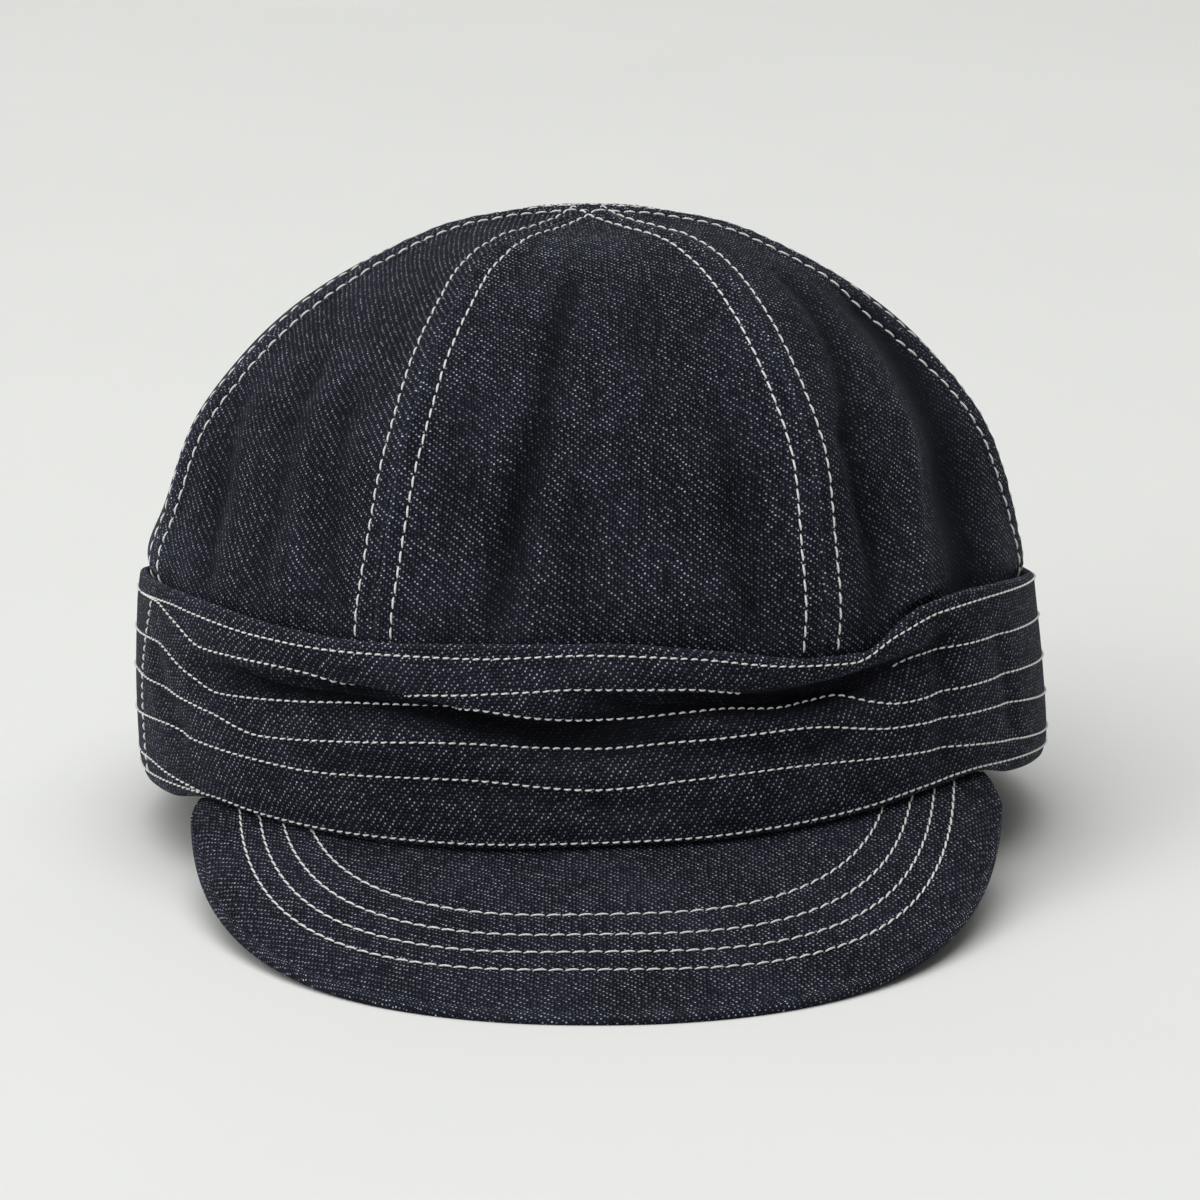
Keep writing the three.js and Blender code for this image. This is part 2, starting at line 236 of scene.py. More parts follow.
seamRows = table(
    "up frontLeft frontRight sideLeft sideRight rearLeft rearRight",
    (0, -28.4, 30.8, -76, 82, -146, 146),
    (25, -27.4, 31.6, -77.5, 83, -146, 146),
    (45, -27.2, 33, -78.5, 83, -146, 146),
    (65, -28.4, 34, -77, 82, -147, 147),
    (82, -30.2, 36, -77.5, 82, -148, 148),
    (98, -34, 39.5, -81, 84, -149, 149),
    (112, -35, 41, -85, 87, -150, 150),
    (124, -31.5, 38, -88, 89, -150, 150),
    (138.5, -30, 30, -90, 90, -150, 150),
)
seamAt = {name: curve(seamRows, "up", name) for name in seamRows[0] if name != "up"}
panels = table(
    "name start end flatness",
    ("crown_front", "frontLeft", "frontRight", 0.35),
    ("crown_front_right", "frontRight", "sideRight", 0.5),
    ("crown_back_right", "sideRight", "rearRight", 0.05),
    ("crown_back", "rearRight", "rearLeft", 0.25),
    ("crown_back_left", "rearLeft", "sideLeft", 0.05),
    ("crown_front_left", "sideLeft", "frontLeft", 0.6),
)
crownCreases = table(
    "azimuth up toAzimuth toUp height width",
    (-13, -4, -8, 48, -2.6, 3.4), (-8, 40, -4, 96, -2.3, 2.8), (-16.5, 30, -19, 62, -1, 4.5),
    (21.5, -4, 21.5, 58, -1.7, 4.5), (10, 48, 13, 92, -0.8, 4.5), (-0.5, -4, -1, 40, -1.1, 4.5),
    (40.5, -4, 42, 52, -2.4, 3.6), (41.5, 42, 63, 92, -2.2, 3.6), (44, 0, 60, 56, 1.3, 3.4),
    (56, -4, 79, 84, -3.6, 9), (-118, 15, -68, 15, 1.7, 7), (-34, 6, -43, 62, -1.4, 4.5),
    (-46, 8, -57, 66, -1.4, 4.5), (-58, 8, -73, 56, -1.5, 4.5), (-22, 106, 22, 106, 1, 9),
)
seamRelief = {
    "rows": 4, "rowsAtPoint": 2.6, "closing": (96, 128), "raised": 0.5, "slope": (-0.4, 2.2),
    "flatter": 0.6, "flatterFrom": (100, 134), "groove": 0.45, "grooveWidth": 0.35,
    "pucker": 0.08, "puckerWidth": 3.2, "puckerFrom": 1.5, "pulled": 0.28, "pulledWidth": 0.7,
}
# Each ripple of the puckered cloth: its rate, how much the seam shifts it, and its size. Where
# a panel ends the shift is otherSeam more, so that its two seams ripple differently.
seamRipples = ((0.83, 1, 1), (1.37, 2.1, 0.7))
otherSeam = 37


def crownCrease(azimuth, up):
    # Creases die out at the hem, which the band holds smooth
    raised = creaseHeight(crownCreases, azimuth, up, crownRadius(up))
    return raised * smooth(up, *crownShape["creasesFrom"])


def panelSpan(panel, up):
    start = seamAt[panel["start"]](up)
    return start, (seamAt[panel["end"]](up) - start) % 360


def rowsApart(up):
    # How far a seam's two rows of stitches lie from it
    wide, narrow = seamRelief["rows"], seamRelief["rowsAtPoint"]
    return wide + (narrow - wide) * smooth(up, *seamRelief["closing"])


def seamHeight(fromSeam, up, seed):
    # Allowances pressed open make a raised strip; its stitches pull it down and pucker it
    half = rowsApart(up)
    full, none = seamRelief["slope"]
    strip = 1 - smooth(fromSeam, half + full, half + none)
    flatter = 1 - seamRelief["flatter"] * smooth(up, *seamRelief["flatterFrom"])
    ripple = sum(size * np.sin(up * rate + seed * shift) for rate, shift, size in seamRipples)
    pucker = seamRelief["pucker"] * ripple * bump(fromSeam, half, seamRelief["puckerWidth"])
    pucker = pucker * smooth(fromSeam, 0, seamRelief["puckerFrom"])
    pulled = seamRelief["pulled"] * bump(fromSeam, half, seamRelief["pulledWidth"])
    groove = seamRelief["groove"] * bump(fromSeam, 0, seamRelief["grooveWidth"])
    return seamRelief["raised"] * strip * flatter + pucker - pulled - groove


def hemRadius(azimuth, height, lengthRatio):
    # The crown's hem is sewn to the inside of the band
    bottom = bandBottom(azimuth)
    top = bandTop(azimuth)
    rise = np.minimum(1, (height - bottom) / (top - bottom))
    inside = bandProud(azimuth, rise, height) - cloth["bandWall"] - crownShape["hemGap"]
    length = np.where(np.abs(azimuth) < 90, headRing["front"], headRing["rear"])
    side = headRing["side"] - headRing["shiftX"] + inside
    radius = np.minimum(side, (length + inside) / lengthRatio)
    return np.where(height > top + crownShape["aboveBand"], np.inf, radius)


def crownPoint(panel, across, up):
    start, span = panelSpan(panel, up)
    azimuth = wrap(start + span * across)
    angle = np.radians(azimuth)
    lengthRatio = np.where(np.abs(azimuth) < 90, crownShape["front"], crownShape["rear"])
    section = crownRadius(up)
    height = crownHeight(up) - topSink(up) * np.maximum(0, np.cos(angle))
    sagitta = section * (1 - np.cos(np.radians(span) / 2))
    freed = smooth(up, crownShape["roundTo"], crownShape["freeFrom"])
    flat = panel["flatness"] * sagitta * (1 - (2 * across - 1) ** 2) * freed
    radius = section - flat + crownCrease(azimuth, up)
    radius = np.minimum(radius, hemRadius(azimuth, height, lengthRatio))
    fromSeam = np.minimum(across, 1 - across) * np.radians(span) * section
    seed = start + np.where(across > 0.5, otherSeam, 0)
    proud = seamHeight(fromSeam, up, seed) * smooth(up, *crownShape["seamsFrom"])
    steep = np.minimum(1, section / crownProfile[0]["radius"])
    radius = np.maximum(0, radius + proud * steep)
    height = height + proud * np.sqrt(1 - steep**2)
    return stand(radius * np.sin(angle), -radius * lengthRatio * np.cos(angle), height)


def crownAt(azimuth, up):
    # The crown's surface at any azimuth, from whichever panel lies there
    azimuth, up = np.broadcast_arrays(azimuth, up)
    point = np.zeros(azimuth.shape + (3,))
    for panel in panels:
        start, span = panelSpan(panel, up)
        across = ((azimuth - start) % 360) / span
        inside = across <= 1
        point[inside] = crownPoint(panel, across[inside], up[inside])
    return point


# The peak: a squared half oval that rises from the floor at its tip to the band at its corners
peak = {
    "halfWidth": 81.6, "tip": 154.6, "back": 46, "squareness": 2.18, "shiftX": 1.8, "skew": -0.5,
    "liftLeft": 16, "liftRight": 19.5, "liftPower": 2, "edgeTop": 2.4, "halfSpan": 60,
    "tuck": 1.9, "crownRise": 0.9, "cornerTurn": 0.94, "bandGap": 0.3,
}


def peakOutline(turn):
    angle = turn * math.pi / 2
    power = 2 / peak["squareness"]
    side = np.sign(angle) * np.abs(np.sin(angle)) ** power
    reach = np.maximum(0, np.cos(angle)) ** power
    lift = np.where(turn < 0, peak["liftLeft"], peak["liftRight"])
    x = peak["halfWidth"] * side + peak["shiftX"] + peak["skew"] * reach
    y = -peak["back"] - (peak["tip"] - peak["back"]) * reach
    height = peak["edgeTop"] + lift * (1 - reach) ** peak["liftPower"]
    return np.stack([x + ringPlace[0], y + ringPlace[1], height], -1) * mm


def peakPoint(turn, share):
    azimuth = turn * peak["halfSpan"]
    joint = bandPoint(azimuth, bandBottom(azimuth), peak["tuck"])
    joint[..., 2] -= peak["bandGap"] * mm
    share = np.asarray(share)[..., None]
    point = joint + (peakOutline(turn * peak["cornerTurn"]) - joint) * share
    point[..., 2] += peak["crownRise"] * mm * np.sin(math.pi * share[..., 0])
    return point


# Mesh making
def newPiece(name):
    piece = bpy.data.objects.new(name, bpy.data.meshes.new(name))
    bpy.context.scene.collection.objects.link(piece)
    return piece


def gridPiece(name, columns, rows, shape, wall=0, closed=False):
    # A grid of cloth: shape gives each vertex's point, its spot on the flat cloth and its wear,
    # which carries painted shade where it is negative
    piece = newPiece(name)
    sheet = bmesh.new()
    bmesh.ops.create_grid(sheet, x_segments=columns, y_segments=rows, size=1)
    grid = np.array([vert.co for vert in sheet.verts])
    points, spots, wearAndShade = shape((grid[:, 0] + 1) / 2, (grid[:, 1] + 1) / 2)
    flatCloth = sheet.loops.layers.uv.new("cloth")
    # This attribute holds real wear where positive and painted shade in fold and crease valleys
    # where negative
    wornAndShaded = sheet.verts.layers.float.new("wearAndShade")
    for vert, point, amount in zip(sheet.verts, points.tolist(), wearAndShade.tolist()):
        vert.co = point
        vert[wornAndShaded] = amount
    spots = (spots * mm).tolist()
    for face in sheet.faces:
        face.smooth = True
        for loop in face.loops:
            loop[flatCloth].uv = spots[loop.vert.index]
    if closed:
        bmesh.ops.remove_doubles(sheet, verts=sheet.verts[:], dist=1e-6)
    bmesh.ops.recalc_face_normals(sheet, faces=sheet.faces[:])
    sheet.to_mesh(piece.data)
    sheet.free()
    if wall:
        solid = piece.modifiers.new("thickness", "SOLIDIFY")
        solid.thickness = wall * mm
        solid.offset = -1
    return piece


def runAlong(points, columns):
    # How far along the cloth each vertex lies from the first row of its grid
    rows = points.reshape(-1, columns + 1, 3)
    steps = np.linalg.norm(np.diff(rows, axis=0), axis=2) / mm
    return np.concatenate([np.zeros((1, columns + 1)), np.cumsum(steps, axis=0)]).ravel()


crownLook = {
    "columns": 100, "rows": 150, "crowding": 0.75, "seamWear": 0.8, "seamWearAt": 0.5,
    "seamWearWidth": 0.5, "rowWear": 0.25, "rowWearWidth": 1.2, "creaseShadeAndWear": 0.28,
    "deepestPaintedShade": -0.9,
}


def makePanel(panel):
    # Columns crowd towards the seams, where the cloth has its fine relief
    def shape(u, v):
        across = u - crownLook["crowding"] * np.sin(2 * math.pi * u) / (2 * math.pi)
        start, span = panelSpan(panel, 0)
        hem = upAtHeight(bandTop(wrap(start + span * across)) - crownShape["tuck"])
        up = hem + (crownShape["point"] - hem) * v
        start, span = panelSpan(panel, up)
        width = np.radians(span) * crownRadius(up)
        fromSeam = np.minimum(across, 1 - across) * width
        seam = bump(fromSeam, crownLook["seamWearAt"], crownLook["seamWearWidth"])
        row = bump(fromSeam, rowsApart(up), crownLook["rowWearWidth"])
        creased = crownCrease(wrap(start + span * across), up)
        # Wear along the seams and stitch rows; crease ridges get lighter wear and crease valleys
        # painted shade, floored at the deepest painted shade
        wearAndShade = crownLook["seamWear"] * seam + crownLook["rowWear"] * row
        wearAndShade = np.maximum(crownLook["deepestPaintedShade"], wearAndShade + crownLook["creaseShadeAndWear"] * creased)
        return crownPoint(panel, across, up), np.stack([(across - 0.5) * width, up], -1), wearAndShade

    name = panel["name"]
    piece = gridPiece(
        name + "_cloth", crownLook["columns"], crownLook["rows"], shape, cloth["crownWall"]
    )
    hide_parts(name)
    return piece


bandLook = {
    "steps": 720, "rises": 84, "edgeSteps": 6, "insideSteps": 6, "foldWear": 0.7,
    "foldWearAt": 70, "foldWearWidth": 50, "hemWear": 0.4, "hemWearWidth": 0.02,
    "foldPaintedShade": 0.3, "creaseShadeAndWear": 0.25, "deepestPaintedShade": -1,
}


def makeBand():
    # In section one closed loop of cloth: up the face, over the top fold, down inside and round
    half = cloth["bandWall"] / 2
    face, edge, inside = bandLook["rises"], bandLook["edgeSteps"], bandLook["insideSteps"]
    total = face + inside + 2 * edge
    stops = [0, face, face + edge, face + edge + inside, total]

    def shape(u, v):
        azimuth = wrap(360 * u)
        rise = np.interp(v * total, stops, [0, 1, 1, 0, 0])
        turn = np.interp(v * total, stops, [0, 0, 180, 180, 360])
        bottom, top = bandBottom(azimuth) + half, bandTop(azimuth) - half
        height = bottom + (top - bottom) * rise + half * np.sin(np.radians(turn))
        inset = half - half * np.cos(np.radians(turn))
        roundway = np.radians(360 * u) * headRing["side"]
        points = bandPoint(azimuth, height, inset)
        pushed = foldPush(azimuth, height)[0]
        creased = creaseHeight(bandCreases, azimuth, height, headRing["side"])
        overFold = bump(turn, bandLook["foldWearAt"], bandLook["foldWearWidth"])
        wearAndShade = bandLook["foldWear"] * overFold
        wearAndShade += bandLook["hemWear"] * bump(rise, 0, bandLook["hemWearWidth"])
        # Painted shade in the fold valleys, where the band is pushed in; crease valleys get painted
        # shade and crease ridges lighter wear
        wearAndShade += bandLook["foldPaintedShade"] * np.minimum(0, pushed)
        wearAndShade += bandLook["creaseShadeAndWear"] * creased
        wearAndShade = np.maximum(bandLook["deepestPaintedShade"], wearAndShade)
        return points, np.stack([runAlong(points, bandLook["steps"]), -roundway], -1), wearAndShade

    piece = gridPiece("band_cloth", bandLook["steps"], total, shape, closed=True)
    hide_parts("band")
    return piece


peakRows = table(
    "halfWidth tip squareness",
    (71.6, 139.6, 2.45), (67.7, 133.4, 2.47), (63.5, 127.2, 2.44), (58.9, 119.8, 2.38),
)
peakLook = {
    "columns": 200, "top": 120, "edge": 8, "under": 14, "rowDip": 0.25, "rowWidth": 1.5,
    "cornerFrom": 0.92, "tangentStep": 0.002, "edgeWear": 0.6, "edgeWearAt": 1,
    "edgeWearWidth": 0.7,
}


def ovalPlace(row, point):
    # 1 on the row's oval, less towards the band
    x = np.abs(point[..., 0] / mm - ringPlace[0] - peak["shiftX"]) / row["halfWidth"]
    reach = -(point[..., 1] / mm - ringPlace[1]) - peak["back"]
    y = np.maximum(0, reach) / (row["tip"] - peak["back"])
    return x ** row["squareness"] + y ** row["squareness"]


def peakTop(turn, share):
    # The rows of stitching pull the cloth down into shallow channels
    point = peakPoint(turn, share)
    for row in peakRows:
        away = (ovalPlace(row, point) - 1) * row["halfWidth"] / row["squareness"]
        point[..., 2] -= peakLook["rowDip"] * mm * bump(away, 0, peakLook["rowWidth"])
    return point


def makePeak():
    # In section over the top, round the full edge, and back underneath to the band
    half = cloth["peakWall"] / 2
    total = peakLook["top"] + peakLook["edge"] + peakLook["under"]
    stops = [0, peakLook["top"], peakLook["top"] + peakLook["edge"], total]

    def shape(u, v):
        flare = 2 * u - 1
        share = np.interp(v * total, stops, [0, 1, 1, 0])
        turn = np.radians(np.interp(v * total, stops, [0, 0, 180, 180]))
        point = np.where(turn[:, None] > 0, peakPoint(flare, share), peakTop(flare, share))
        step = peakLook["tangentStep"]
        outline = peakOutline(np.stack([flare - step, flare + step]) * peak["cornerTurn"])
        tangent = (outline[1] - outline[0])[:, :2]
        outward = np.stack([tangent[:, 1], -tangent[:, 0]], -1)
        outward /= np.linalg.norm(outward, axis=1)[:, None]
        full = 1 - smooth(np.abs(flare), peakLook["cornerFrom"], 1)
        point[:, :2] += outward * ((np.sin(turn) - 1) * half * mm * full * share**4)[:, None]
        point[:, 2] = np.maximum(0, point[:, 2] - (1 - np.cos(turn)) * half * mm)
        spots = point[:, :2] / mm + outward * (half * turn)[:, None]
        overEdge = bump(turn, peakLook["edgeWearAt"], peakLook["edgeWearWidth"])
        return point, spots, peakLook["edgeWear"] * overEdge

    piece = gridPiece("peak_cloth", peakLook["columns"], total, shape)
    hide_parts("peak")
    return piece


# Stitches: each row of them is points on the cloth with the way out of the cloth at each.
# Share is how much of its pitch a stitch fills, and probe the step that finds the way out.
stitchLook = {"height": 0.42, "lift": 0.24, "segments": 6}
stitches = {
    "crown": {"pitch": 3.05, "share": 0.82, "width": 0.46, "slant": 0.09, "probe": 0.4},
    "band": {"pitch": 2.05, "share": 0.74, "width": 0.4, "slant": 0.07, "probe": 0.3},
    "peak": {"pitch": 3.1, "share": 0.93, "width": 0.46, "slant": 0.16, "probe": 0.01},
}


def dash():
    # One rounded dash along X, fuller than a ball towards its ends, repeated along every row
    shape = bmesh.new()
    segments = stitchLook["segments"]
    bmesh.ops.create_uvsphere(shape, u_segments=segments, v_segments=segments, radius=1)
    spots = np.array([vert.co for vert in shape.verts])[:, [2, 0, 1]]
    faces = [[vert.index for vert in face.verts] for face in shape.faces]
    shape.free()
    x = spots[:, 0]
    fuller = np.where(np.abs(x) > 0.99, 1, np.sqrt((1 - x**4) / np.maximum(1e-6, 1 - x * x)))
    spots[:, 1:] *= fuller[:, None]
    return spots, faces


def surfaceRow(surface, a, b, kind):
    # Points of a surface and the way out of it there, away from the cap's middle
    step = stitches[kind]["probe"]
    here = surface(a, b)
    normal = np.cross(surface(a + step, b) - here, surface(a, b + step) - here)
    normal /= np.linalg.norm(normal, axis=1)[:, None]
    outward = here - np.array(capMiddle) * mm
    return here, normal * np.sign(np.sum(normal * outward, axis=1))[:, None]


def stitchPiece(name, kind, rows):
    spots, faces = dash()
    look = stitches[kind]
    points, polygons = [], []
    for line, normals in rows:
        marks = np.concatenate([[0], np.cumsum(np.linalg.norm(np.diff(line, axis=0), axis=1))])
        count = max(1, round(marks[-1] / (look["pitch"] * mm)))
        middle = (np.arange(count) + 0.5) * marks[-1] / count
        reach = look["share"] * marks[-1] / count / 2

        def at(values, distance):
            return np.stack([np.interp(distance, marks, values[:, k]) for k in range(3)], -1)

        start, end, normal = at(line, middle - reach), at(line, middle + reach), at(normals, middle)
        along = (end - start) / 2
        side = np.cross(normal, along)
        side /= np.linalg.norm(side, axis=1)[:, None]
        along = along + side * look["slant"] * mm
        x, y, z = spots.T
        rise = stitchLook["lift"] * (1 - x * x) + z * stitchLook["height"] / 2
        dashes = (
            ((start + end) / 2)[:, None]
            + along[:, None] * x[:, None]
            + side[:, None] * (y * look["width"] / 2 * mm)[:, None]
            + normal[:, None] * (rise * mm)[:, None]
        )
        for stitch in dashes:
            first = len(points)
            points.extend(stitch.tolist())
            polygons.extend([first + i for i in face] for face in faces)
    piece = newPiece(name)
    piece.data.from_pydata(points, [], polygons)
    piece.data.shade_smooth()
    return piece


# From, to and step along the crown for the points of its rows, closer near the point
crownRuns = ((3, 120, 1.5), (120, 136, 0.4))


def crownStitches():
    # Each seam's two rows run over the point of the crown and down the opposite seam
    rows = []
    pairs = (("frontLeft", "rearRight"), ("frontRight", "rearLeft"), ("sideLeft", "sideRight"))
    up = np.concatenate([np.arange(*run) for run in crownRuns])
    near = up[crownRadius(up) > rowsApart(up)]
    far = near[::-1]
    apart = np.degrees(np.arcsin(rowsApart(near) / crownRadius(near)))
    for first, second in pairs:
        for side in (-1, 1):
            there = seamAt[first](near) + side * apart
            back = seamAt[second](far) - side * apart[::-1]
            azimuth = np.concatenate([there, back])
            rows.append(surfaceRow(crownAt, azimuth, np.concatenate([near, far]), "crown"))
    return rows


# The band's stitching winds round five times and ends along the lower edge. The second turn is
# in three runs, which end where the folds hide it.
bandRows = [
    table("azimuth height", (-80, 39.7), (-66, 40.4), (-58, 39.6), (-45, 37.7), (-30, 36.6),
          (-15, 36.6), (0, 37.7), (12, 36.8), (25, 34.4), (34, 34), (41, 38.2), (50, 41.8),
          (62, 42.7), (80, 42), (110, 38.6), (160, 36.4), (220, 37), (280, 39.7)),
    table("azimuth height", (-80, 39.7), (-71, 39.9), (-64, 37.4), (-56, 33.4), (-49, 33),
          (-42, 32.6), (-36, 31.7), (-31, 29.6)),
    table("azimuth height", (-24, 28.5), (-20, 29.3), (-16, 29.6), (-10, 30.3), (0, 31.1),
          (12, 30.9), (16, 30.2), (20, 29.2)),
    table("azimuth height", (41.5, 31.8), (43.5, 32.9), (46, 33.6), (60, 34.6), (80, 34),
          (110, 31), (160, 29.4), (220, 29.5), (280, 31.6)),
    table("azimuth height", (-80, 31.6), (-70, 31.9), (-60, 27.8), (-52, 24.8), (-40, 25.3),
          (-30, 26.1), (-20, 26.4), (-14, 26.8), (-8, 25.7), (0, 24.8), (6, 25), (12, 25.7),
          (17, 26.1), (24, 25.6), (29, 26.4), (33, 27.2), (37, 25.7), (41, 24.9), (50, 25.8),
          (65, 26.4), (80, 25.6), (110, 23.6), (160, 21.8), (220, 21.6), (280, 23.7)),
    table("azimuth height", (-80, 23.8), (-65, 22.6), (-54, 20.8), (-44, 17.9), (-30, 18.9),
          (-18, 19.9), (0, 18.9), (12, 20.4), (28, 21.9), (40, 20.2), (60, 20.6), (80, 18.4),
          (110, 15.6), (160, 14), (220, 13.4), (280, 14.9)),
    table("azimuth height", (-80, 15), (-68, 15.8), (-58, 14.4), (-45, 13), (-33, 12), (-15, 12.7),
          (0, 11.3), (12, 13), (28, 14.5), (48, 14.6), (62, 13.2), (80, 11), (110, 8.6), (160, 6.4),
          (220, 5.6), (280, 6.6)),
    table("azimuth height", (-80, 6.6), (-74, 6.7), (-66, 5.5), (-60, 4.4), (-57, 3.6)),
    table("azimuth height", (-80, 3.4), (-68, 3.7), (-55, 3.5), (-45, 2), (-30, 0.5), (-15, 0.1),
          (0, 0.8), (12, 1.4), (22, 2.6), (35, 5), (46, 7.8), (56, 9.2), (66, 8.8), (80, 7.8),
          (98, 6.2), (125, 3.9), (180, 2.4), (235, 3), (280, 3.4)),
]
bandEnd = table("height azimuth", (3.4, -76), (20, -76.5), (39.7, -72.5))
bandRun = {"step": 0.8, "endPoints": 40}


def bandStitches():
    rows = []
    for row in bandRows:
        azimuth = np.arange(row[0]["azimuth"], row[-1]["azimuth"], bandRun["step"])
        height = clothHeight(wrap(azimuth), curve(row, "azimuth", "height")(azimuth))
        rows.append(surfaceRow(bandPoint, azimuth, height, "band"))
    height = np.linspace(bandEnd[0]["height"], bandEnd[-1]["height"], bandRun["endPoints"])
    azimuth = curve(bandEnd, "height", "azimuth")(height)
    rows.append(surfaceRow(bandPoint, azimuth, height, "band"))
    return rows


peakRun = {"reach": 0.99, "points": 181, "halvings": 18, "underBand": 0.008}


def peakStitches():
    # Along each row, the share of the way from band to edge where its oval lies
    rows = []
    turn = np.linspace(-peakRun["reach"], peakRun["reach"], peakRun["points"])
    for row in peakRows:
        low, high = np.zeros(len(turn)), np.ones(len(turn))
        for _ in range(peakRun["halvings"]):
            share = (low + high) / 2
            within = ovalPlace(row, peakPoint(turn, share)) < 1
            low, high = np.where(within, share, low), np.where(within, high, share)
        shown = low > peakRun["underBand"]
        shown[1:-1] |= shown[:-2] | shown[2:]
        rows.append(surfaceRow(peakTop, turn[shown], low[shown], "peak"))
    return rows


# Materials
def linear(hexCode):
    # sRGB hex to the linear colour that the shader wants
    parts = [int(hexCode[i:i + 2], 16) / 255 for i in (1, 3, 5)]
    return [c / 12.92 if c <= 0.04045 else ((c + 0.055) / 1.055) ** 2.4 for c in parts] + [1]


def newMaterial(name):
    material = bpy.data.materials.new(name)
    material.use_nodes = True
    return material, material.node_tree, material.node_tree.nodes["Principled BSDF"]


def addNode(tree, kind, links=None, **settings):
    # Adds a node; links feed its sockets, and settings are its properties or socket values
    node = tree.nodes.new("ShaderNode" + kind)
    for key, value in settings.items():
        if hasattr(node, key):
            setattr(node, key, value)
        else:
            node.inputs[key.replace("_", " ")].default_value = value
    for socket, source in (links or {}).items():
        tree.links.new(source, node.inputs[socket])
    return node


def ramp(tree, source, stops):
    node = addNode(tree, "ValToRGB", {"Fac": source})
    while len(node.color_ramp.elements) < len(stops):
        node.color_ramp.elements.new(0.5)
    for element, (position, colour) in zip(node.color_ramp.elements, stops):
        element.position = position
        element.color = linear(colour)
    return node.outputs["Color"]


def calculate(tree, operation, *values):
    node = addNode(tree, "Math", operation=operation)
    for socket, value in zip(node.inputs, values):
        if isinstance(value, (int, float)):
            socket.default_value = value
        else:
            tree.links.new(value, socket)
    return node.outputs[0]


# Indigo denim: colours, then sizes in millimetres, then how strongly each thing shows
# The lighter worn colour goes where the attribute is positive; the near black after it is painted
# shade for fold and crease valleys
denimLook = {
    "shade": "#0c0d13", "warp": "#21222d", "weft": "#cbd1dd", "wornAndShaded": "#4a5162",
    "paintedShadeColour": "#050609", "sheenTint": "#8a93a8",
    "warpPitch": 0.66, "weftPitch": 0.48, "floatWidth": 0.25, "floatHeight": 0.19,
    "driftSize": 9, "drift": 0.7, "patchSize": 3, "toneSize": 22, "slubLength": 14, "dent": 0.1,
    "twill": 3, "nudge": 0.55, "patches": 1.9, "patchesBelow": 0.85, "patchesLeast": 0.15,
    "wearAndShadeShows": 0.9, "paintedShadeSpecksLeast": 0.25, "chancePower": 1.8, "chanceLeast": 0.2, "grain": 0.4,
    "ribs": 0.2, "edgeWear": 0.3, "paintedShadeStrength": 0.75, "floatSunk": 0.6, "floatUneven": 0.25,
    "dents": 0.5, "roughness": 0.85, "specular": 0.07, "sheen": 0.06, "sheenRoughness": 0.5,
}
# Where a Mix node of colours keeps its sockets
mixSockets = {"share": 0, "below": 6, "above": 7, "result": 2}


